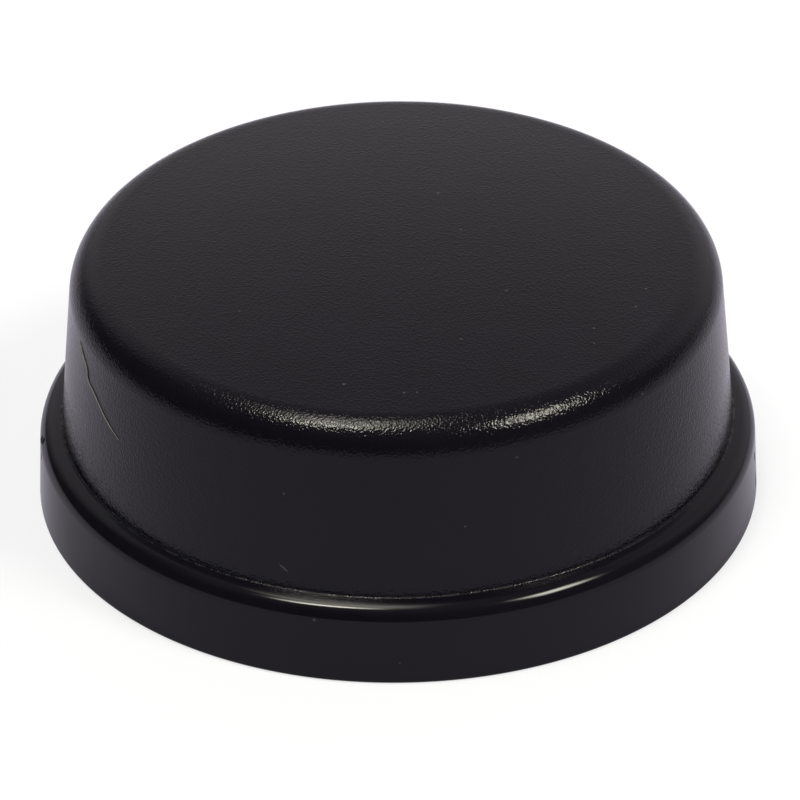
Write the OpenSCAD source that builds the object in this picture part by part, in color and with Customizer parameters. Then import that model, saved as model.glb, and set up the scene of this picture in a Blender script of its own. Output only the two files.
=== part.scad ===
// Push-on hub cap for a wheel: one injection-moulded shell, turned from one section,
// with a shallow domed top, a tall leaning wall and a short skirt under a narrow ledge.
// It stands on its rim: Z is the cap's axis, and Z = 0 is the plane of the rim.

/* [Fit on the hub] */
// Diameter of the hub collar that the cap presses over
seat_d = 56; // [44:0.5:80]
// Height of the lead-in chamfer at the mouth
lead_in_h = 0.8; // [0.4:0.1:1.2]
// Width of the lead-in chamfer, across the rim
lead_in_w = 0.4; // [0.2:0.1:0.8]

/* [Shell] */
// Height from the rim to the middle of the top
cap_h = 23.8; // [17:0.2:31]
// Radius of the shallow dome that the top is part of
dome_r = 205; // [120:5:400]
// Thickness of the moulded wall, the same all over
wall_t = 2; // [1.6:0.1:2.4]
// Lean of the tall wall, so that it leaves the mould
wall_draft = 4.5; // [1:0.5:8]
// Radius of the rounded edge between the wall and the top
crown_r = 3.2; // [2.6:0.2:4]

/* [Skirt and ledge] */
// Height of the ledge where it meets the tall wall
skirt_h = 7.1; // [6:0.1:9]
// Lean of the skirt's outer face
skirt_draft = 2; // [0:0.5:4]
// Width of the ledge, from the foot of the tall wall to the rim
ledge_w = 2.05; // [2:0.05:2.6]
// Fall of the ledge, from the tall wall out to its rounded edge
ledge_slope = 12; // [6:1:20]
// Radius of the rounded edge, which runs over into the skirt
ledge_r = 1.6; // [1.2:0.1:1.7]
// Radius of the narrow fillet between the tall wall and the ledge
foot_fillet_r = 0.25; // [0.2:0.05:0.3]

/* [Moulding marks inside] */
// Number of ejector pins that pushed the cap off its core
pin_count = 4; // [3:1:8]
// Diameter of one ejector pin
pin_d = 4; // [2:0.5:6]
// Diameter of the circle that the pins stand on
pin_circle_d = 34; // [16:1:36]
// Depth of the print that each pin leaves in the domed ceiling
pin_print = 0.15; // [0.1:0.05:0.3]
// Diameter of the dished spot round the gate
gate_dish_d = 6; // [4:0.5:8]
// Diameter of the gate's broken stub
gate_d = 1.2; // [0.8:0.1:1.6]

/* [Hidden] */
$fn = 120;

// Small radii and depths
rim_edge_r = 0.3;       // outer edge of the rim
seat_corner_r = 0.4;    // inner corner where the seat ends
shoulder_r = 1;         // edge of the shoulder that stops the hub
gate_dish_depth = 0.4;
gate_stub_h = 0.25;

overlap = 0.5;          // how far a cutter runs past the face that it cuts
graze = 0.00015;        // an arc is this much larger, so it crosses its edges cleanly

// Radii of the seat, the rim, and the tall wall, which leans in from its foot
seat_r = seat_d / 2;
rim_r = seat_r + wall_t;
foot_r = rim_r - ledge_w;
function wall_r(z) = foot_r - (z - skirt_h) * tan(wall_draft);

// The sharp corner that the rounded edge stands for, where ledge and skirt would meet
edge_z = (skirt_h - ledge_w * tan(ledge_slope)) / (1 - tan(skirt_draft) * tan(ledge_slope));
edge_r = rim_r - edge_z * tan(skirt_draft);

// The same wall from the inside
wall_across = wall_t / cos(wall_draft);
shoulder_z = skirt_h - wall_t;
above = cap_h + 2 * overlap;    // outlines start up here, and the dome cuts them down

// Outlines are half sections that start on the axis and run clockwise, corner by
// corner: [radius, height, corner radius].
OUTSIDE = [
    [0, 0, 0],
    [0, above, 0],
    [wall_r(above), above, 0],
    [foot_r, skirt_h, foot_fillet_r],
    [edge_r, edge_z, ledge_r],
    [rim_r, 0, rim_edge_r]
];

HOLLOW = [
    [0, -lead_in_h, 0],
    [0, above, 0],
    [wall_r(above) - wall_across, above, 0],
    [wall_r(shoulder_z) - wall_across, shoulder_z, shoulder_r],
    [seat_r, shoulder_z, seat_corner_r],
    [seat_r, lead_in_h, 0],
    [seat_r + 2 * lead_in_w, -lead_in_h, 0]
];

// The dome's centre is on the axis. The crown touches the dome from within and the
// leaning wall on its side, so its centre is one radius off each of them.
dome_centre = [0, cap_h - dome_r];
wall_way = [cos(wall_draft), sin(wall_draft)];
wall_up = [-sin(wall_draft), cos(wall_draft)];
crown_side = ([foot_r, skirt_h] - dome_centre) * wall_way - crown_r;
crown_centre = dome_centre + wall_way * crown_side
    + wall_up * sqrt(pow(dome_r - crown_r, 2) - pow(crown_side, 2));
dome_way = unit(crown_centre - dome_centre);

// Height of the ceiling in the middle, one wall under the top
ceiling_z = cap_h - wall_t;

function flat(p) = [p[0], p[1]];
function unit(v) = v / norm(v);

// A corner of an outline with its two neighbours
function corner_at(outline, i) =
    let (count = len(outline))
    [flat(outline[(i + count - 1) % count]), flat(outline[i]), flat(outline[(i + 1) % count])];

// On a clockwise outline, a right turn sticks out and a left turn goes in.
function turns_out(c) =
    let (a = c[1] - c[0], b = c[2] - c[1])
    a[0] * b[1] - a[1] * b[0] < 0;

// Where a round corner sits: its centre, and the two points where it leaves the edges
function round_corner(c, r) =
    let (u = unit(c[0] - c[1]),
         v = unit(c[2] - c[1]),
         half = acos(u * v) / 2,
         reach = r / tan(half))
    [c[1] + unit(u + v) * r / sin(half), c[1] + u * reach, c[1] + v * reach];

// The web between an arc and the outer corner that it rounds, given the arc's centre
// and its two ends
module arc_web(centre, end_a, end_b, r) {
    a = end_a - centre;
    b = end_b - centre;
    corner = (a + b) / (1 + a * b / (r * r));
    past = 1.3;
    translate(centre) difference() {
        polygon([[0, 0], a * past, corner * past, b * past]);
        circle(r = r + graze);
    }
}

// A straight-sided outline with true arcs at its corners. An outer corner loses its
// web. An inner one is first filled up to its arc's centre, and the arc is cut from that.
module rounded(outline) {
    corners = [for (i = [0 : len(outline) - 1]) corner_at(outline, i)];
    radii = [for (p = outline) p[2]];
    difference() {
        polygon([for (i = [0 : len(outline) - 1])
            let (c = corners[i], arc = round_corner(c, radii[i]))
            for (p = radii[i] == 0 || turns_out(c) ? [c[1]] : [arc[1], arc[0], arc[2]]) p]);
        for (i = [0 : len(outline) - 1])
            if (radii[i] > 0) {
                arc = round_corner(corners[i], radii[i]);
                if (turns_out(corners[i]))
                    arc_web(arc[0], arc[1], arc[2], radii[i]);
                else
                    translate(arc[0]) circle(r = radii[i] + graze);
            }
    }
}

// An outline cut down to the dome, with the crown rounded over from the dome to the wall
module domed(outline, inset) {
    difference() {
        intersection() {
            rounded(outline);
            translate(dome_centre) circle(r = dome_r - inset, $fn = 1440);
        }
        arc_web(crown_centre, crown_centre + dome_way * (crown_r - inset),
                crown_centre + wall_way * (crown_r - inset), crown_r - inset);
    }
}

// The dished spot round the gate, in the middle of the ceiling, and round the low broken
// stub that the gate leaves in it
module gate_dish() {
    bottom = ceiling_z + gate_dish_depth;
    polygon([
        [0, ceiling_z - overlap],
        [gate_dish_d / 2 + overlap, ceiling_z - overlap],
        [gate_dish_d / 2 - gate_dish_depth, bottom],
        [gate_d / 2, bottom],
        [gate_d / 2, bottom - gate_stub_h],
        [0, bottom - gate_stub_h]
    ]);
}

// The shell, turned from its section
module shell() {
    rotate_extrude() difference() {
        domed(OUTSIDE, 0);
        domed(HOLLOW, wall_t);
        gate_dish();
    }
}

// The shallow round prints that the ejector pins leave, each square to the ceiling
module pin_prints() {
    ceiling_r = dome_r - wall_t;
    for (i = [0 : pin_count - 1])
        translate([0, 0, dome_centre[1]])
            rotate([0, asin(pin_circle_d / 2 / ceiling_r), (i + 0.5) * 360 / pin_count])
                translate([0, 0, ceiling_r - overlap])
                    cylinder(d = pin_d, h = overlap + pin_print);
}

module hub_cap() {
    color([0.13, 0.13, 0.14])
        difference() {
            shell();
            pin_prints();
        }
}

hub_cap();
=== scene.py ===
# %% [markdown]
# # A black moulded hub cap
# The solid model gives this part its shape, its size and its place. Here it gets the looks
# of the real cap: a grained top and wall, a polished ledge and skirt, and a pale studio.
# Everything is in metres in the solid model's own frame: Z is the cap's axis, Z = 0 is the
# plane that its rim stands on, and -Y is the side that the photograph shows.

# %% Load the solid model as a fixed frame
import math

import bmesh
import bpy
from mathutils import Matrix, Vector


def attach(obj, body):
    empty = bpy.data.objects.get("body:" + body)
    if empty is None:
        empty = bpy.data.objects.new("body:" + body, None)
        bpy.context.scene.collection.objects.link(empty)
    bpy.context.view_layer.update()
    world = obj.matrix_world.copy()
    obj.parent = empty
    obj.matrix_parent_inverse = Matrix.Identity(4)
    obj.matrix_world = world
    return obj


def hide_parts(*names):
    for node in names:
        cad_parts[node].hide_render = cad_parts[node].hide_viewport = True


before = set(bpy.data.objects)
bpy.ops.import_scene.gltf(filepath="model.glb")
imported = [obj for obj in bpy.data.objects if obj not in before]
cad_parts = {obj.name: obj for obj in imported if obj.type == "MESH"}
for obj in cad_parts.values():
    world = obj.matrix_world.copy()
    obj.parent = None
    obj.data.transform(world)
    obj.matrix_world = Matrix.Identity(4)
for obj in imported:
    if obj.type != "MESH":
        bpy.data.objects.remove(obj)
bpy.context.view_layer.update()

# %% [markdown]
# ## The section
# A cap like this is moulded in a turned tool, so one half section holds its whole shape.
# The solid's own mesh is coarse for a glossy black thing: a reflection shows each facet
# as a kink. So the same section is written out again here, and turned in finer steps.
# The sizes are the ones that the solid model has, in millimetres.

# %% Sizes of the cap, in millimetres
MM = 0.001

top_height = 23.8          # rim to the middle of the top
dome_radius = 205.0        # the top is part of a shallow dome
crown_radius = 3.2         # rounded edge from the top to the wall
wall_thickness = 2.0
wall_lean = math.radians(4.5)

seat_radius = 28.0         # presses over the hub's collar
rim_radius = seat_radius + wall_thickness
ledge_width = 2.05
ledge_height = 7.1         # where the ledge meets the wall
ledge_fall = math.radians(12)
ledge_edge_radius = 1.6    # rounds the ledge over into the skirt
foot_fillet_radius = 0.25  # fills the corner between the wall and the ledge
skirt_lean = math.radians(2)
rim_edge_radius = 0.3

foot_radius = rim_radius - ledge_width


def wall_radius(height):
    return foot_radius - (height - ledge_height) * math.tan(wall_lean)


print("the wall leans in from %.2f mm at its foot to %.2f mm under the crown"
      % (wall_radius(ledge_height), wall_radius(top_height - 4)))

# %% [markdown]
# Two small tools draw the section. One makes the points of an arc, and one rounds a
# corner between two straight edges, as a lathe tool with a round nose would. Points four
# degrees apart are close enough for a highlight to run smoothly across them.

# %% Arcs and rounded corners
def arc(centre, start, stop, step=4.0):
    reach = (start - centre).length
    first = math.atan2(start.y - centre.y, start.x - centre.x)
    last = math.atan2(stop.y - centre.y, stop.x - centre.x)
    turn = (last - first + math.pi) % (2 * math.pi) - math.pi
    count = max(2, math.ceil(abs(turn) / math.radians(step)))
    return [centre + reach * Vector((math.cos(first + turn * i / count),
                                     math.sin(first + turn * i / count)))
            for i in range(count + 1)]


def rounded(before, corner, after, radius, step=4.0):
    one, other = (before - corner).normalized(), (after - corner).normalized()
    half = one.angle(other) / 2
    centre = corner + (one + other).normalized() * radius / math.sin(half)
    run = radius / math.tan(half)
    return arc(centre, corner + one * run, corner + other * run, step)


def between(start, stop, pieces):
    return [start.lerp(stop, i / pieces) for i in range(1, pieces)]


# %% [markdown]
# The outline starts on the axis in the middle of the top, and runs down the outside. Each
# point carries the finish of the band that leads to it. The mould was spark-eroded where
# it forms the top, the crown and the wall, down to the small fillet at the wall's foot. It
# was polished where it forms the ledge, the skirt and the rim.

# %% The outline, from the top down to the rim
GRAINED, POLISHED, CORE_SIDE = 0, 1, 2
outline = []


def run_on(points, finish):
    for point in points:
        if not outline or (point - outline[-1][0]).length > 1e-6:
            outline.append((point, finish))


dome_centre = Vector((0, top_height - dome_radius))
wall_out = Vector((math.cos(wall_lean), math.sin(wall_lean)))
wall_up = Vector((-math.sin(wall_lean), math.cos(wall_lean)))
sideways = (Vector((foot_radius, ledge_height)) - dome_centre).dot(wall_out) - crown_radius
crown_centre = (dome_centre + wall_out * sideways
                + wall_up * math.sqrt((dome_radius - crown_radius) ** 2 - sideways ** 2))
dome_out = (crown_centre - dome_centre).normalized()
dome_spread = math.asin(dome_out.x)


def dome_points(radius, start, stop, pieces):
    return [dome_centre + radius * Vector((math.sin(a), math.cos(a)))
            for a in (start + (stop - start) * i / pieces for i in range(pieces + 1))]


run_on(dome_points(dome_radius, 0, dome_spread, 24), GRAINED)
run_on(arc(crown_centre, crown_centre + dome_out * crown_radius,
           crown_centre + wall_out * crown_radius), GRAINED)

edge_height = ((ledge_height - ledge_width * math.tan(ledge_fall))
               / (1 - math.tan(skirt_lean) * math.tan(ledge_fall)))
edge_corner = Vector((rim_radius - edge_height * math.tan(skirt_lean), edge_height))
foot_corner = Vector((foot_radius, ledge_height))
rim_corner = Vector((rim_radius, 0))
wall_top = outline[-1][0]

foot = rounded(wall_top, foot_corner, edge_corner, foot_fillet_radius)
run_on(between(wall_top, foot[0], 8) + foot, GRAINED)
ledge_edge = rounded(foot_corner, edge_corner, rim_corner, ledge_edge_radius)
run_on([foot[-1].lerp(ledge_edge[0], 0.5)] + ledge_edge, POLISHED)
rim_edge = rounded(edge_corner, rim_corner, Vector((seat_radius, 0)), rim_edge_radius, 12)
run_on(between(ledge_edge[-1], rim_edge[0], 4) + rim_edge, POLISHED)
print("outside:", len(outline), "points, crown starts %.2f mm from the axis"
      % (crown_centre.x + dome_out.x * crown_radius))

# %% [markdown]
# The hidden side was formed by the core of the mould. It has a lead-in and a press seat
# for the hub's collar, the shoulder that stops the collar, and a ceiling one wall under
# the top. In the middle is the dished spot where the plastic came in, with the low stub
# that was left when the runner broke off.

# %% The outline, from the rim up the inside
lead_in_height, lead_in_width = 0.8, 0.4
seat_corner_radius, shoulder_radius = 0.4, 1.0
gate_dish_radius, gate_dish_depth = 3.0, 0.4
gate_dish_mouth = 3.02     # the dish's slope meets the domed ceiling this far out
gate_stub_radius, gate_stub_height = 0.6, 0.25
ceiling_height = top_height - wall_thickness
shoulder_height = ledge_height - wall_thickness
wall_across = wall_thickness / math.cos(wall_lean)

mouth = Vector((seat_radius + lead_in_width, 0))
seat_foot = Vector((seat_radius, lead_in_height))
seat_top = Vector((seat_radius, shoulder_height))
shoulder = Vector((wall_radius(shoulder_height) - wall_across, shoulder_height))
inner_crown = crown_radius - wall_thickness
inner_wall_top = crown_centre + wall_out * inner_crown

run_on([mouth, seat_foot], CORE_SIDE)
run_on(rounded(seat_foot, seat_top, shoulder, seat_corner_radius, 12), CORE_SIDE)
run_on(rounded(seat_top, shoulder, inner_wall_top, shoulder_radius, 8), CORE_SIDE)
run_on(between(outline[-1][0], inner_wall_top, 8), CORE_SIDE)
run_on(arc(crown_centre, inner_wall_top, crown_centre + dome_out * inner_crown, 8), CORE_SIDE)

ceiling_radius = dome_radius - wall_thickness
dish_bottom = ceiling_height + gate_dish_depth
run_on(dome_points(ceiling_radius, dome_spread, math.asin(gate_dish_mouth / ceiling_radius), 21),
       CORE_SIDE)
run_on([Vector((gate_dish_radius - gate_dish_depth, dish_bottom)),
        Vector((gate_stub_radius, dish_bottom)),
        Vector((gate_stub_radius, dish_bottom - gate_stub_height)),
        Vector((0, dish_bottom - gate_stub_height))], CORE_SIDE)
print("whole section:", len(outline), "points, seat from %.1f to %.1f mm high"
      % (lead_in_height, shoulder_height - seat_corner_radius))

# %% [markdown]
# ## Turning the section
# Blender's Screw modifier could spin the outline, but it gives every band one finish and
# leaves a seam. Here each point becomes a ring of corners, and each pair of rings a band of
# faces, so a band takes its finish as it is made and the shell closes on itself.

# %% Turn the section into a closed shell
def placed(name, mesh):
    for finish in (GRAINED, POLISHED, CORE_SIDE):
        mesh.materials.append(None)    # a place for each finish, filled later
    made = bpy.data.objects.new(name, mesh)
    bpy.context.scene.collection.objects.link(made)
    return made


def turned(name, outline, around=360):
    steel = bmesh.new()
    rings = []
    for point, finish in outline:
        angles = [2 * math.pi * i / around for i in range(around)] if point.x > 1e-6 else [0]
        rings.append([steel.verts.new((point.x * math.cos(a) * MM, point.x * math.sin(a) * MM,
                                       point.y * MM)) for a in angles])
    for k in range(1, len(rings)):
        upper, lower = rings[k - 1], rings[k]
        for i in range(around):
            j = (i + 1) % around
            if len(upper) == 1:
                corners = (upper[0], lower[i], lower[j])
            elif len(lower) == 1:
                corners = (upper[i], lower[0], upper[j])
            else:
                corners = (upper[i], lower[i], lower[j], upper[j])
            face = steel.faces.new(corners)
            face.material_index = outline[k][1]
            face.smooth = True
    mesh = bpy.data.meshes.new(name)
    steel.to_mesh(mesh)
    steel.free()
    return placed(name, mesh)


cap = turned("cap_shell", outline)
print("cap_shell:", len(cap.data.vertices), "corners,", len(cap.data.polygons), "faces")

# %% [markdown]
# Four ejector pins pushed the warm cap off its core, and each left a shallow round print in
# the ceiling. The prints don't follow the rings, so they are cut with a Boolean modifier.
# The modifier is applied and its cutters are thrown away, so no extra piece stays behind.

# %% Press the four pin prints into the ceiling
pin_radius, pin_circle_radius, print_depth = 2.0, 17.0, 0.15
cutter_height = 1.0


def pin_cutter(turn):
    steel = bmesh.new()
    bmesh.ops.create_cone(steel, cap_ends=True, segments=48, radius1=pin_radius * MM,
                          radius2=pin_radius * MM, depth=cutter_height * MM)
    for face in steel.faces:
        face.material_index = CORE_SIDE
        face.smooth = True
    mesh = bpy.data.meshes.new("pin")
    steel.to_mesh(mesh)
    steel.free()
    pin = placed("pin", mesh)
    tilt = Matrix.Rotation(math.asin(pin_circle_radius / ceiling_radius), 4, "Y")
    lift = (ceiling_radius + print_depth - cutter_height / 2) * MM
    pin.matrix_world = (Matrix.Translation((0, 0, dome_centre.y * MM))
                        @ Matrix.Rotation(turn, 4, "Z") @ tilt
                        @ Matrix.Translation((0, 0, lift)))
    return pin


def apply_modifiers(piece):
    shaped = bpy.data.meshes.new_from_object(
        piece.evaluated_get(bpy.context.evaluated_depsgraph_get()))
    piece.modifiers.clear()
    piece.data = shaped


for quarter in range(4):
    pin = pin_cutter(math.radians(45 + 90 * quarter))
    cut = cap.modifiers.new("pin print", "BOOLEAN")
    cut.object, cut.operation, cut.solver = pin, "DIFFERENCE", "EXACT"
    apply_modifiers(cap)
    bpy.data.objects.remove(pin)
print("after the prints:", len(cap.data.vertices), "corners,", len(cap.data.polygons), "faces")

# %% [markdown]
# A shading normal is what a reflection follows. Real corners, such as the rim's inner edge,
# are marked sharp. Everything else is smooth, and the Weighted Normal modifier lets the
# large faces decide, so the dome and the wall stay true right up to the arcs beside them.

# %% Mark the real corners and set the shading normals
def keep_real_corners(piece, limit=20):
    steel = bmesh.new()
    steel.from_mesh(piece.data)
    sharp = 0
    for edge in steel.edges:
        edge.smooth = not (len(edge.link_faces) == 2
                           and edge.calc_face_angle() > math.radians(limit))
        sharp += not edge.smooth
    open_edges = sum(len(edge.link_faces) != 2 for edge in steel.edges)
    steel.to_mesh(piece.data)
    steel.free()
    normals = piece.modifiers.new("true faces", "WEIGHTED_NORMAL")
    normals.keep_sharp, normals.weight = True, 100
    return sharp, open_edges


print("sharp edges %d, open edges %d" % keep_real_corners(cap))
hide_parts("hub_cap")
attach(cap, "root")

# %% [markdown]
# ## Finishes
# The whole cap is one black plastic. What changes over it is how the mould was finished,
# and what has settled on it since. Each such effect is a node group with named inputs, and
# the materials place the groups with their own values. Short helpers keep the node work
# readable. One adds a node and wires it, and one starts a group. The others are the
# calculations, ramps, blends and places that nearly every effect asks for.

# %% Helpers for nodes
def wire(tree, kind, inputs=(), **settings):
    made = tree.nodes.new(kind)
    made.location.x = 200 * len(tree.nodes)
    for name, value in settings.items():
        setattr(made, name, value)
    for name, value in dict(inputs).items():
        if isinstance(value, bpy.types.NodeSocket):
            tree.links.new(value, made.inputs[name])
        else:
            made.inputs[name].default_value = value
    return made


def calc(tree, operation, *values):
    return wire(tree, "ShaderNodeMath", enumerate(values), operation=operation).outputs[0]


def effect(name, takes, gives):
    tree = bpy.data.node_groups.new(name, "ShaderNodeTree")
    for label, kind, value in takes:
        tree.interface.new_socket(label, in_out="INPUT", socket_type=kind).default_value = value
    for label, kind in gives:
        tree.interface.new_socket(label, in_out="OUTPUT", socket_type=kind)
    return (tree, tree.nodes.new("NodeGroupInput").outputs,
            tree.nodes.new("NodeGroupOutput").inputs)


def ramp(tree, value, low, high, to_low=0.0, to_high=1.0):
    return wire(tree, "ShaderNodeMapRange", {0: value, 1: low, 2: high, 3: to_low, 4: to_high},
                interpolation_type="SMOOTHSTEP").outputs[0]


def blend(tree, share, one, other):
    return wire(tree, "ShaderNodeMix", {0: share, 6: one, 7: other}, data_type="RGBA").outputs[2]


def blend_numbers(tree, share, one, other):
    return wire(tree, "ShaderNodeMix", {0: share, 2: one, 3: other}, data_type="FLOAT").outputs[0]


def place_on_piece(tree):
    return wire(tree, "ShaderNodeTexCoord").outputs["Object"]


def split(tree, vector):
    return wire(tree, "ShaderNodeSeparateXYZ", {0: vector}).outputs


def new_material(name):
    material = bpy.data.materials.new(name)
    material.use_nodes = True
    return material, material.node_tree, material.node_tree.nodes["Principled BSDF"]


NUMBER, PLACE = "NodeSocketFloat", "NodeSocketVector"

# %% [markdown]
# The grain comes from spark erosion: thousands of tiny craters in the mould leave small
# rounded hills on the plastic, about a fifth of a millimetre across. Noise gives the uneven
# hills, and a cell pattern gives the crests between craters, which glitter in a highlight.

# %% Group: spark-eroded grain
grain, takes, gives = effect("Spark-eroded grain",
                             [("Size", NUMBER, 0.00018), ("Craters", NUMBER, 0.5)],
                             [("Height", NUMBER), ("Crests", NUMBER)])
here = place_on_piece(grain)
fineness = calc(grain, "DIVIDE", 1.0, takes["Size"])
hills = wire(grain, "ShaderNodeTexNoise", {"Vector": here, "Scale": fineness, "Detail": 2.0,
                                           "Roughness": 0.6}).outputs["Fac"]
cells = wire(grain, "ShaderNodeTexVoronoi", {"Vector": here, "Scale": fineness},
             feature="SMOOTH_F1").outputs["Distance"]
crests = ramp(grain, cells, 0.25, 0.75)
grain.links.new(blend_numbers(grain, takes["Craters"], hills, crests), gives["Height"])
grain.links.new(crests, gives["Crests"])
print("group:", grain.name)

# %% [markdown]
# The polished bands and the core keep the faint lines of the lathe and of the polishing
# stone, which run round the axis. Four-dimensional noise makes them without a seam: two of
# its directions are the place in the section, and two go round with the cap.

# %% Group: lines round the axis
lines, takes, gives = effect("Lines round the axis",
                             [("Spacing", NUMBER, 0.0002), ("Breaks", NUMBER, 3.0)],
                             [("Height", NUMBER)])
here = place_on_piece(lines)
x, y, z = split(lines, here)
out = calc(lines, "SQRT", calc(lines, "ADD", calc(lines, "POWER", x, 2.0),
                               calc(lines, "POWER", y, 2.0)))
out = calc(lines, "MAXIMUM", out, 0.0001)    # keeps clear of dividing by nothing on the axis
per_line = calc(lines, "DIVIDE", 1.0, takes["Spacing"])
round_x = calc(lines, "MULTIPLY", calc(lines, "DIVIDE", x, out), takes["Breaks"])
round_y = calc(lines, "MULTIPLY", calc(lines, "DIVIDE", y, out), takes["Breaks"])
section = wire(lines, "ShaderNodeCombineXYZ", {
    "X": calc(lines, "MULTIPLY", out, per_line),
    "Y": calc(lines, "MULTIPLY", z, per_line), "Z": round_x}).outputs[0]
streaks = wire(lines, "ShaderNodeTexNoise", {"Vector": section, "W": round_y, "Scale": 1.0,
                                             "Detail": 1.0}, noise_dimensions="4D")
lines.links.new(streaks.outputs["Fac"], gives["Height"])
print("group:", lines.name)

# %% [markdown]
# Handling and storage leave a soft unevenness in the gloss, a few millimetres wide, and a
# little dust: specks a tenth of a millimetre across, more of them where the surface faces
# up. The cells of a Voronoi texture place one speck each, and most cells are left empty.

# %% Group: handling and dust
handled, takes, gives = effect("Handling and dust",
                               [("Patch size", NUMBER, 0.007), ("Speck spacing", NUMBER, 0.0016),
                                ("Speck size", NUMBER, 0.05), ("Empty cells", NUMBER, 0.8)],
                               [("Patches", NUMBER), ("Specks", NUMBER)])
here = place_on_piece(handled)
patches = wire(handled, "ShaderNodeTexNoise", {
    "Vector": here, "Scale": calc(handled, "DIVIDE", 1.0, takes["Patch size"]),
    "Detail": 3.0}).outputs["Fac"]
cell = wire(handled, "ShaderNodeTexVoronoi", {
    "Vector": here, "Scale": calc(handled, "DIVIDE", 1.0, takes["Speck spacing"])})
chance = wire(handled, "ShaderNodeSeparateColor", {0: cell.outputs["Color"]}).outputs
facing_up = split(handled, wire(handled, "ShaderNodeNewGeometry").outputs["Normal"])["Z"]
more_on_top = calc(handled, "MULTIPLY", facing_up, 0.1)
chosen = calc(handled, "GREATER_THAN", calc(handled, "ADD", chance[0], more_on_top),
              takes["Empty cells"])
size = calc(handled, "MULTIPLY", takes["Speck size"], calc(handled, "ADD", chance[1], 0.5))
speck = calc(handled, "LESS_THAN", cell.outputs["Distance"], size)
handled.links.new(patches, gives["Patches"])
handled.links.new(calc(handled, "MULTIPLY", chosen, speck), gives["Specks"])
print("group:", handled.name)

# %% [markdown]
# Some marks on this cap are its own: flecks that stuck to the top and the wall, a short
# light scratch over the ledge, two pits in the wall, and dark nicks at both ends of the
# skirt. Each is one copy of a small group that turns a place and a length into a
# soft-edged mask on the surface there.

# %% Group: one noted mark
noted, takes, gives = effect("Noted mark",
                             [("Place", PLACE, (0, 0, 0)), ("Along", PLACE, (0, 0, 1)),
                              ("Half length", NUMBER, 0.0002), ("Half width", NUMBER, 0.0001)],
                             [("Mask", NUMBER)])
here = place_on_piece(noted)
away = wire(noted, "ShaderNodeVectorMath", {0: here, 1: takes["Place"]},
            operation="SUBTRACT").outputs[0]
along = wire(noted, "ShaderNodeVectorMath", {0: away, 1: takes["Along"]},
             operation="DOT_PRODUCT").outputs["Value"]
distance = wire(noted, "ShaderNodeVectorMath", {0: away}, operation="LENGTH").outputs["Value"]
across = calc(noted, "SQRT", calc(noted, "MAXIMUM", calc(
    noted, "SUBTRACT", calc(noted, "POWER", distance, 2.0),
    calc(noted, "POWER", along, 2.0)), 0.0))
long_share = calc(noted, "POWER", calc(noted, "DIVIDE", along, takes["Half length"]), 2.0)
wide_share = calc(noted, "POWER", calc(noted, "DIVIDE", across, takes["Half width"]), 2.0)
noted.links.new(ramp(noted, calc(noted, "ADD", long_share, wide_share), 0.4, 1.2, 1.0, 0.0),
                gives["Mask"])
print("group:", noted.name)

# %% [markdown]
# A mark is written as an angle round the cap and a height or a distance from the axis, as
# someone holding the cap would point it out. Angles are in degrees from +X towards +Y, so
# -90 is the middle of the side that the photograph shows.

# %% Where the marks are
def at(angle, out, height):
    a = math.radians(angle)
    return Vector((out * math.cos(a), out * math.sin(a), height)) * MM


def on_top(angle, out):
    return at(angle, out, dome_centre.y + math.sqrt(dome_radius ** 2 - out ** 2))


def on_wall(angle, height, lift=0.0):
    return at(angle, wall_radius(height) + lift, height)


UP = Vector((0, 0, 1))
# Each mark: place, direction, half length and half width in mm, strength.
pale_flecks = [
    (on_top(-101.8, 20.9), UP, 0.13, 0.13, 0.5),
    (on_top(-88.6, 21.7), UP, 0.10, 0.10, 0.6),
    (on_top(-85.8, 21.7), UP, 0.10, 0.10, 0.5),
    (on_top(64.6, 8.3), UP, 0.14, 0.14, 0.4),
    (on_top(-70.4, 15.5), UP, 0.12, 0.12, 0.4),
    (on_top(-38.0, 20.3), UP, 0.10, 0.10, 0.5),
    (on_top(-42.4, 21.6), UP, 0.10, 0.10, 0.4),
    (on_top(-17.4, 21.4), UP, 0.10, 0.10, 0.5),
    (on_wall(-78.8, 13.2), UP, 0.10, 0.10, 0.6),
    (on_wall(-69.4, 18.7), UP, 0.10, 0.10, 0.6),
    (on_wall(-109.7, 15.7), UP, 0.12, 0.12, 0.5),
    (on_wall(-109.6, 8.9), (on_wall(-108.8, 8.6) - on_wall(-110.4, 9.2)).normalized(),
     0.50, 0.07, 0.9),    # the light scratch
]
ledge_flecks = [
    (at(-103.4, 29.79, 5.67), UP, 0.12, 0.12, 0.7),
]
wall_pits = [
    (on_wall(-15.4, 16.2), UP, 0.10, 0.10, 1.0),
    (on_wall(-16.2, 15.5), UP, 0.08, 0.08, 1.0),
]
skirt_nicks = [
    (at(-174.6, 29.60, 6.20), UP, 0.36, 0.34, 1.0),
    (at(-175.9, 29.72, 5.96), UP, 0.34, 0.32, 1.0),
    (at(-176.5, 29.82, 5.62), UP, 0.36, 0.26, 0.9),
    (at(-173.4, 29.84, 5.10), UP, 0.34, 0.24, 0.8),
    (at(-177.9, 29.25, 6.62), UP, 0.22, 0.18, 0.6),
    (at(-6.5, 29.87, 4.30), UP, 0.40, 0.34, 1.0),
    (at(-5.5, 29.95, 1.60), UP, 0.90, 0.22, 0.9),
]
print(len(pale_flecks + ledge_flecks + wall_pits + skirt_nicks), "marks noted")

# %% [markdown]
# ## The three finishes
# All three start from the same black. It is a very black plastic with a trace of purple,
# and its clear skin reflects little, so the specular level is low. The level and the IOR
# are the same everywhere, and are set on the shader itself.

# %% Start a black plastic
BLACK = (0.0046, 0.0040, 0.0068)
FLECK = (0.10, 0.095, 0.085, 1.0)


def black_plastic(name):
    material, tree, shader = new_material(name)
    shader.inputs["IOR"].default_value = 1.5
    shader.inputs["Specular IOR Level"].default_value = 0.23
    return material, tree, shader


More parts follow.
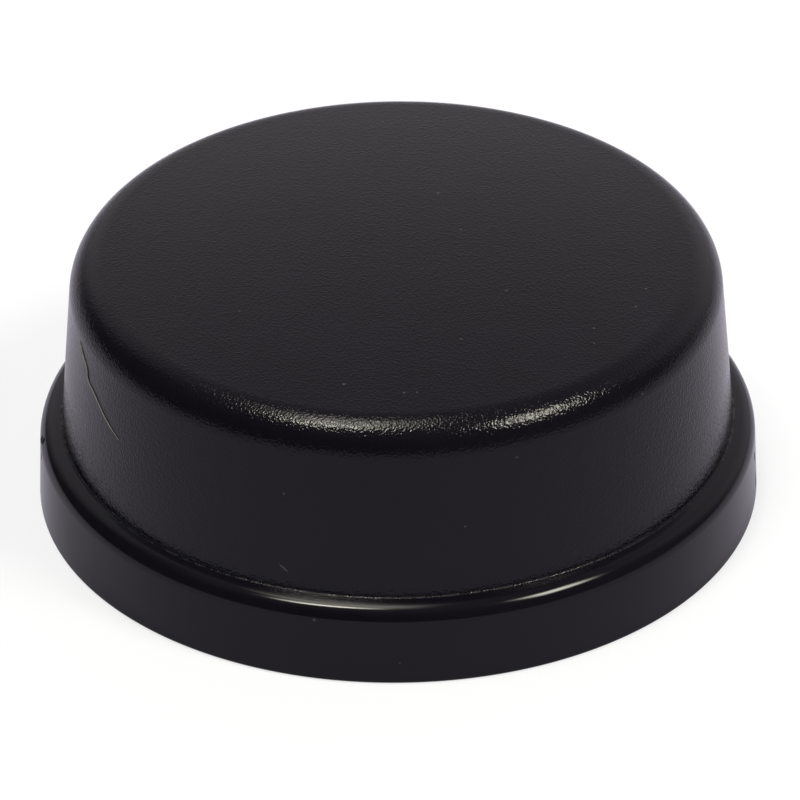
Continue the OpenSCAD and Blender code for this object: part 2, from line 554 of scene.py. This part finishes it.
def with_marks(tree, marks):
    whole = 0.0
    for place, direction, half_length, half_width, strength in marks:
        mask = wire(tree, "ShaderNodeGroup", {
            "Place": place, "Along": direction, "Half length": half_length * MM,
            "Half width": half_width * MM}, node_tree=noted).outputs["Mask"]
        whole = calc(tree, "MAXIMUM", whole, calc(tree, "MULTIPLY", mask, strength))
    return whole


def paint(tree, shader, colour, spoilt, rough, height, depth):
    tint = blend(tree, spoilt, colour, FLECK)
    bump = wire(tree, "ShaderNodeBump", {"Height": height, "Distance": depth, "Strength": 1.0})
    tree.links.new(tint, shader.inputs["Base Color"])
    tree.links.new(rough, shader.inputs["Roughness"])
    tree.links.new(bump.outputs[0], shader.inputs["Normal"])


def uneven_black(tree, patches):
    darker, lighter = ([share * v for v in BLACK] + [1] for share in (0.8, 1.2))
    return blend(tree, patches, darker, lighter)


def gloss(tree, patches, glossiest, dullest):
    return ramp(tree, patches, 0.3, 0.7, glossiest, dullest)


def dust(tree, specks, paleness):
    return calc(tree, "MULTIPLY", specks, paleness)


# %% [markdown]
# The grained skin is satin. Its hills tilt the surface by several degrees, which spreads
# the lamp's reflection along the crown into a wide soft ribbon that sparkles. In the
# tight corner at the wall's foot the spark reached unevenly, so the thin highlight there
# breaks into dashes.

# %% Material: grained skin
grained_skin, tree, shader = black_plastic("grained_skin")
hills = wire(tree, "ShaderNodeGroup", {"Size": 0.00018, "Craters": 0.5}, node_tree=grain).outputs
worn = wire(tree, "ShaderNodeGroup", {"Patch size": 0.006, "Speck spacing": 0.0018,
                                      "Speck size": 0.05, "Empty cells": 0.93},
            node_tree=handled).outputs
spoilt = calc(tree, "MAXIMUM", dust(tree, worn["Specks"], 0.35),
              with_marks(tree, pale_flecks))
crest_gloss = 0.04             # crests are rubbed smoother than the rest
rough = calc(tree, "ADD", gloss(tree, worn["Patches"], 0.09, 0.13),
             calc(tree, "MULTIPLY", hills["Crests"], -crest_gloss))

dash_spacing, dash_dullness = 0.625 * MM, 0.35
here = place_on_piece(tree)
in_corner = ramp(tree, split(tree, here)["Z"], (ledge_height + 0.15) * MM,
                 (ledge_height + 0.4) * MM, 1.0, 0.0)
uneven = wire(tree, "ShaderNodeTexNoise", {"Vector": here, "Scale": 1 / dash_spacing})
dashes = ramp(tree, uneven.outputs["Fac"], 0.42, 0.55)
dull_dashes = calc(tree, "MULTIPLY", in_corner, dashes)
rough = calc(tree, "MULTIPLY_ADD", dull_dashes, dash_dullness, rough)

hill_height = 0.027 * MM
pit_depth = 1.5                # in hill heights
pitted = calc(tree, "MULTIPLY_ADD", with_marks(tree, wall_pits), -pit_depth, hills["Height"])
paint(tree, shader, uneven_black(tree, worn["Patches"]), spoilt, rough, pitted, hill_height)
print("material:", grained_skin.name)

# %% [markdown]
# The ledge and the skirt came off polished steel. They are glossier, and their highlights
# are narrow, with only faint lines in them. The nicks are shallow dull dents, which the
# height shows as thirty times the depth of a polishing line.

# %% Material: polished band
polished_band, tree, shader = black_plastic("polished_band")
streaks = wire(tree, "ShaderNodeGroup", {"Spacing": 0.00012, "Breaks": 6.0},
               node_tree=lines).outputs["Height"]
worn = wire(tree, "ShaderNodeGroup", {"Patch size": 0.004, "Speck spacing": 0.0015,
                                      "Speck size": 0.06, "Empty cells": 0.95},
            node_tree=handled).outputs
spoilt = calc(tree, "MAXIMUM", dust(tree, worn["Specks"], 0.4),
              with_marks(tree, ledge_flecks))
speck_dullness, nick_dullness = 0.3, 0.85
rough = calc(tree, "ADD", gloss(tree, worn["Patches"], 0.09, 0.14),
             calc(tree, "MULTIPLY", spoilt, speck_dullness))
nicked = with_marks(tree, skirt_nicks)
rough = calc(tree, "MULTIPLY_ADD", nicked, nick_dullness, rough)

line_depth = 0.001 * MM
nick_depth = 30.0              # in line depths
dented = calc(tree, "MULTIPLY_ADD", nicked, -nick_depth, streaks)
paint(tree, shader, uneven_black(tree, worn["Patches"]), spoilt, rough, dented, line_depth)
print("material:", polished_band.name)

# %% [markdown]
# The core was turned and left as it came from the lathe, so the inside has clear fine
# lines round the axis and a duller gloss.

# %% Material: core side
core_side, tree, shader = black_plastic("core_side")
streaks = wire(tree, "ShaderNodeGroup", {"Spacing": 0.00025, "Breaks": 2.0},
               node_tree=lines).outputs["Height"]
worn = wire(tree, "ShaderNodeGroup", {"Patch size": 0.009, "Speck spacing": 0.002,
                                      "Speck size": 0.04, "Empty cells": 0.95},
            node_tree=handled).outputs
spoilt = dust(tree, worn["Specks"], 0.3)
rough = gloss(tree, worn["Patches"], 0.34, 0.42)
line_depth = 0.004 * MM
paint(tree, shader, uneven_black(tree, worn["Patches"]), spoilt, rough, streaks, line_depth)

for place, finish in enumerate((grained_skin, polished_band, core_side)):
    cap.data.materials[place] = finish
bands = [face.material_index for face in cap.data.polygons]
print("faces by finish:", [bands.count(k) for k in (GRAINED, POLISHED, CORE_SIDE)])

# %% [markdown]
# ## A stray fibre
# A light fibre clings to the left side of the wall, curving down from the crown. It is a
# tenth of a millimetre thick, so it is a curve with a round bevel, laid on the wall's
# surface with half its thickness of lift. Its upper end is yellowish, the rest is pale.

# %% Lay the fibre on the wall
fibre_thickness = 0.10
# Each point: angle round the cap and height on the wall, from the upper end down.
fibre_run = [(-163.8, 19.07), (-161.8, 18.58), (-160.0, 18.07), (-158.9, 17.71), (-158.0, 16.86),
             (-155.5, 16.43), (-153.8, 16.04), (-150.2, 15.16), (-146.0, 14.35)]
thread = bpy.data.curves.new("stray_fibre", "CURVE")
thread.dimensions = "3D"
thread.bevel_depth, thread.bevel_resolution = fibre_thickness / 2 * MM, 3
thread.use_fill_caps = True
spline = thread.splines.new("BEZIER")
spline.bezier_points.add(len(fibre_run) - 1)
both_ends = (spline.bezier_points[0], spline.bezier_points[-1])
for knot, (angle, height) in zip(spline.bezier_points, fibre_run):
    knot.co = on_wall(angle, height, fibre_thickness / 2)
    knot.handle_left_type = knot.handle_right_type = "AUTO"
    knot.radius = 0.5 if knot in both_ends else 1.0
fibre = bpy.data.objects.new("stray_fibre", thread)
bpy.context.scene.collection.objects.link(fibre)

GREYISH, YELLOWISH = (0.16, 0.15, 0.145, 1), (0.13, 0.10, 0.055, 1)
BRIGHT_STRAND = (0.30, 0.28, 0.25, 1)
lint, tree, shader = new_material("lint")
here = place_on_piece(tree)
up_it = ramp(tree, split(tree, here)["Z"], 17.4 * MM, 18.6 * MM)
twist_length = 0.25 * MM
twist = wire(tree, "ShaderNodeTexNoise", {"Vector": here,
                                          "Scale": 1 / twist_length}).outputs["Fac"]
strands = blend(tree, up_it, GREYISH, YELLOWISH)
tree.links.new(blend(tree, twist, strands, BRIGHT_STRAND), shader.inputs["Base Color"])
tree.links.new(ramp(tree, twist, 0.3, 0.7, 0.45, 0.7), shader.inputs["Roughness"])
thread.materials.append(lint)
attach(fibre, "root")
print("fibre:", len(fibre_run), "points")

# %% [markdown]
# ## The studio
# The cap stands on a wide pale floor. For rays from the camera the floor is lifted most of
# the way to white, which gives the plain background and keeps the shadow. The black skin
# mirrors the floor all round. There the table looks greyer and a little cooler. Away from
# the cap its colour darkens: this is painted shade, a pool of light round the cap that is
# painted into the floor's colour for every ray but the camera's. So reflections get only a
# little of that white. From below the floor is clear, so the underside of the cap can be
# looked at too.

# %% Floor
floor_mesh = bpy.data.meshes.new("floor")
reach = 6.0
floor_mesh.from_pydata([(-reach, -reach, 0), (reach, -reach, 0), (reach, reach, 0),
                        (-reach, reach, 0)], [], [(0, 1, 2, 3)])
floor = bpy.data.objects.new("floor", floor_mesh)
bpy.context.scene.collection.objects.link(floor)

WHITE = (1, 1, 1, 1)
PAPER = (0.86, 0.88, 0.97, 1)              # what the camera sees
TABLE_NEAR = (0.505, 0.485, 0.645, 1)      # what the cap mirrors close by
# painted shade: the floor's colour darkens towards this one away from the cap, in place of less
# light there
TABLE_FAR_PAINTED_SHADE = (0.25, 0.24, 0.32, 1)          # and away from the pool of light
painted_pool_edge, painted_pool_end = 50 * MM, 240 * MM
lift_for_camera, lift_for_reflections = 0.7, 0.15

pale_floor, tree, shader = new_material("pale_floor")
shader.inputs["Roughness"].default_value = 0.9
shader.inputs["Specular IOR Level"].default_value = 0.0
rays = wire(tree, "ShaderNodeLightPath").outputs
from_cap = wire(tree, "ShaderNodeVectorMath", {0: place_on_piece(tree)},
                operation="LENGTH").outputs["Value"]
# painted pool of light: the floor's colour darkens with distance from the cap, for all rays but
# the camera's
floor_with_painted_pool = blend(tree, ramp(tree, from_cap, painted_pool_edge, painted_pool_end), TABLE_NEAR, TABLE_FAR_PAINTED_SHADE)
tree.links.new(blend(tree, rays["Is Camera Ray"], floor_with_painted_pool, PAPER), shader.inputs["Base Color"])
reflected = calc(tree, "MAXIMUM", rays["Is Glossy Ray"], rays["Is Transmission Ray"])
seen = calc(tree, "MAXIMUM", calc(tree, "MULTIPLY", rays["Is Camera Ray"], lift_for_camera),
            calc(tree, "MULTIPLY", reflected, lift_for_reflections))
white = wire(tree, "ShaderNodeEmission", {"Color": WHITE}).outputs[0]
lifted = wire(tree, "ShaderNodeMixShader", {0: seen, 1: shader.outputs[0], 2: white}).outputs[0]
clear = wire(tree, "ShaderNodeBsdfTransparent").outputs[0]
below = wire(tree, "ShaderNodeNewGeometry").outputs["Backfacing"]
sides = wire(tree, "ShaderNodeMixShader", {0: below, 1: lifted, 2: clear}).outputs[0]
tree.links.new(sides, tree.nodes["Material Output"].inputs["Surface"])
floor_mesh.materials.append(pale_floor)
print("floor: %.0f m wide" % (2 * reach))

# %% [markdown]
# What surrounds a black glossy thing is most of what you see of it. The world is a plain
# room written by direction. It is pale behind the cap, palest and narrowest low down, dim
# in front where the camera stands, and a little lighter to the right. At the horizon a
# pale line takes over where the floor ends. The camera sees that line in the tone of the
# far floor, and the cap mirrors it dimmer.

# %% Surroundings
ROOM_TINT = (1.0, 0.955, 0.99, 1)
all_round, pale_behind, right_side, ceiling = 0.053, 0.44, 0.075, 0.23
palest_low_down = 1.18                     # times as pale as higher up
line_in_reflections, line_for_camera = 0.30, 0.872

room = bpy.data.worlds.new("room")
bpy.context.scene.world = room
room.use_nodes = True
tree = room.node_tree
way = split(tree, wire(tree, "ShaderNodeTexCoord").outputs["Generated"])
level = calc(tree, "MAXIMUM", 0.001, calc(tree, "SQRT", calc(tree, "ADD", calc(
    tree, "POWER", way["X"], 2.0), calc(tree, "POWER", way["Y"], 2.0))))


def towards(azimuth):
    # 0 is the camera's side, and the angle grows towards +X
    a = math.radians(azimuth)
    return calc(tree, "DIVIDE", calc(tree, "ADD", calc(tree, "MULTIPLY", way["X"], math.sin(a)),
                                     calc(tree, "MULTIPLY", way["Y"], -math.cos(a))), level)


# way["Z"] is the sine of the height angle: 0 at the horizon, 1 straight up.
low_down = calc(tree, "MAXIMUM", calc(tree, "SUBTRACT", 0.70, way["Z"]), 0.0)
narrowing = -0.6
backwards = calc(tree, "MULTIPLY_ADD", low_down, narrowing, towards(165))
behind = calc(tree, "MULTIPLY", ramp(tree, backwards, 0.08, 0.64, 0.0, pale_behind),
              ramp(tree, way["Z"], 0.36, 0.66, palest_low_down, 1.0))
to_the_right = ramp(tree, towards(60), 0.4, 0.9, 0.0, right_side)
around = calc(tree, "ADD", calc(tree, "ADD", behind, to_the_right), all_round)
overhead = ramp(tree, way["Z"], 0.60, 0.95)
walls = blend_numbers(tree, overhead, around, ceiling)
horizon = ramp(tree, way["Z"], 0.01, 0.035, 1.0, 0.0)
camera_ray = wire(tree, "ShaderNodeLightPath").outputs["Is Camera Ray"]
pale_line = blend_numbers(tree, camera_ray, line_in_reflections, line_for_camera)
strength = blend_numbers(tree, horizon, walls, pale_line)
tree.links.new(strength, tree.nodes["Background"].inputs["Strength"])
tree.links.new(blend(tree, camera_ray, ROOM_TINT, WHITE),
               tree.nodes["Background"].inputs["Color"])
print("world:", room.name)

# %% [markdown]
# Three softboxes make the highlights. One hangs above, a little to the left and to the
# front, and draws the long highlight on the crown and the ledge. A large dim one behind it
# draws that highlight's soft tail. The third stands to the right and draws the shorter,
# sharper one. A softbox is brightest in its middle, so each lamp here falls off towards
# its edges, and its light is a little warm. They are far off and large rather than near
# and small: the cap sees the same light, and the wide floor keeps one tone.

# %% Softboxes
WARM = (1.0, 0.97, 0.845)


def softbox(name, place, width, depth, radiance, bright_share=0.25, target=None):
    light = bpy.data.lights.new(name, "AREA")
    light.shape, light.size, light.size_y = "RECTANGLE", width, depth
    light.energy = radiance * math.pi * width * depth
    light.color = WARM
    light.use_nodes = True
    tree = light.node_tree
    across = split(tree, wire(tree, "ShaderNodeNewGeometry").outputs["Parametric"])
    fall = 1.0
    for side in (across["X"], across["Y"]):
        off_middle = calc(tree, "ABSOLUTE", calc(tree, "MULTIPLY_ADD", side, 2.0, -1.0))
        fall = calc(tree, "MULTIPLY", fall, ramp(tree, off_middle, bright_share, 1.0, 1.0, 0.0))
    tree.links.new(fall, tree.nodes["Emission"].inputs["Strength"])
    lamp = bpy.data.objects.new(name, light)
    lamp.location = place              # an area lamp shines down unless it is turned
    if target is not None:
        lamp.rotation_mode = "QUATERNION"
        lamp.rotation_quaternion = (target - Vector(place)).to_track_quat("-Z", "Y")
    bpy.context.scene.collection.objects.link(lamp)
    cosine = Vector(place).normalized().z
    facing = 1.0 if target is not None else cosine
    mean = (0.5 + 0.5 * bright_share) ** 2
    plain = (radiance * mean * width * depth * facing * cosine
             / Vector(place).length_squared / math.pi)
    print("%s lights a flat surface to %.2f of its colour" % (name, plain))


high = 4.0
softbox("overhead_softbox", (-0.24 * high, -0.205 * high, high), 0.46 * high, 0.17 * high, 48.0)
softbox("rear_softbox", (-0.14 * high, 0.0, high), 0.52 * high, 0.62 * high, 7.0)
azimuth, elevation, far = math.radians(63), math.radians(52), 4.0
softbox("right_softbox", (far * math.sin(azimuth) * math.cos(elevation),
                          -far * math.cos(azimuth) * math.cos(elevation),
                          far * math.sin(elevation)),
        0.41 * far, 0.33 * far, 30.0, target=Vector((0, 0, 0)))

# %% [markdown]
# ## The camera
# The photograph was taken from well away with a long lens, from about a third of a right
# angle above the table. The height angle, the distance, the lens and a small roll were
# fitted to the outline of the cap.

# %% Camera
bpy.context.scene.view_settings.view_transform = "Standard"
sensor_width = 36.0            # mm
picture_width = 800            # pixels
focal_length = 8429.8          # pixels
aim = Vector((0, 0, 10.5 * MM))
distance = 700.7 * MM
height_angle = 0.56611         # this and the three small turns are in radians
roll, swing, nod = 0.01112, -0.00031, -0.00291

lens = bpy.data.cameras.new("camera")
lens.sensor_width = sensor_width
lens.lens = sensor_width * focal_length / picture_width
lens.clip_start, lens.clip_end = 0.01, 50.0
camera = bpy.data.objects.new("camera", lens)
bpy.context.scene.collection.objects.link(camera)
bpy.context.scene.camera = camera
back = Vector((0, -math.cos(height_angle), math.sin(height_angle)))
upright = Vector((0, math.sin(height_angle), math.cos(height_angle)))
facing = Matrix((Vector((1, 0, 0)), upright, back)).transposed()
facing = (facing @ Matrix.Rotation(swing, 3, "Y") @ Matrix.Rotation(nod, 3, "X")
          @ Matrix.Rotation(-roll, 3, "Z"))
camera.matrix_world = Matrix.Translation(aim + back * distance) @ facing.to_4x4()
print("camera: lens %.0f mm, %.0f mm from the cap" % (lens.lens, distance / MM))
